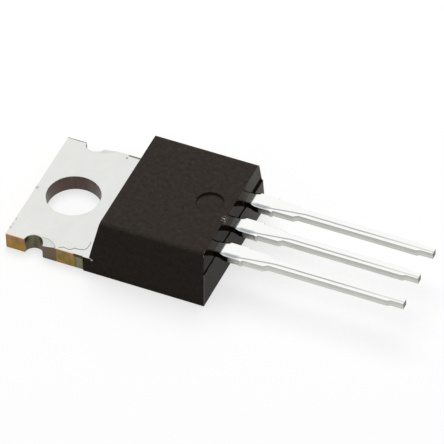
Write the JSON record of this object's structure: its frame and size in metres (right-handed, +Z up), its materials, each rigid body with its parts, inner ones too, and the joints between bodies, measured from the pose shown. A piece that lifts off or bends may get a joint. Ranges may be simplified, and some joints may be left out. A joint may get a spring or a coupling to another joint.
{
  "type": "n-channel mosfet",
  "caption": "Power transistor in a flat-backed moulded package, with a drilled metal tab and straight flat leads in a row.",
  "frame": {"origin": "axis of the tab's mounting hole at the metal back face", "axes": "+X along the leads towards their tips, +Y to the source-lead side, +Z up out of the metal back, through the moulding's top"},
  "size_m": [0.0282, 0.0104, 0.0045],
  "materials": {
    "tinned_copper": "matt tin plate over stamped copper, bare copper on some cut edges",
    "tinned_lead": "tin plate over stamped copper alloy",
    "silicon": "sawn silicon, polished top",
    "solder": "solder",
    "bond_wire": "drawn aluminium wire",
    "epoxy": "black filled epoxy moulding compound, fine matt grain"
  },
  "bodies": {
    "root": {"heat_sink": "tinned_copper", "gate_lead": "tinned_lead", "source_lead": "tinned_lead", "silicon_die": "silicon", "die_solder": "solder", "source_wire_inner": "bond_wire", "source_wire_outer": "bond_wire", "gate_wire": "bond_wire", "epoxy_body": "epoxy"}
  },
  "joints": []
}
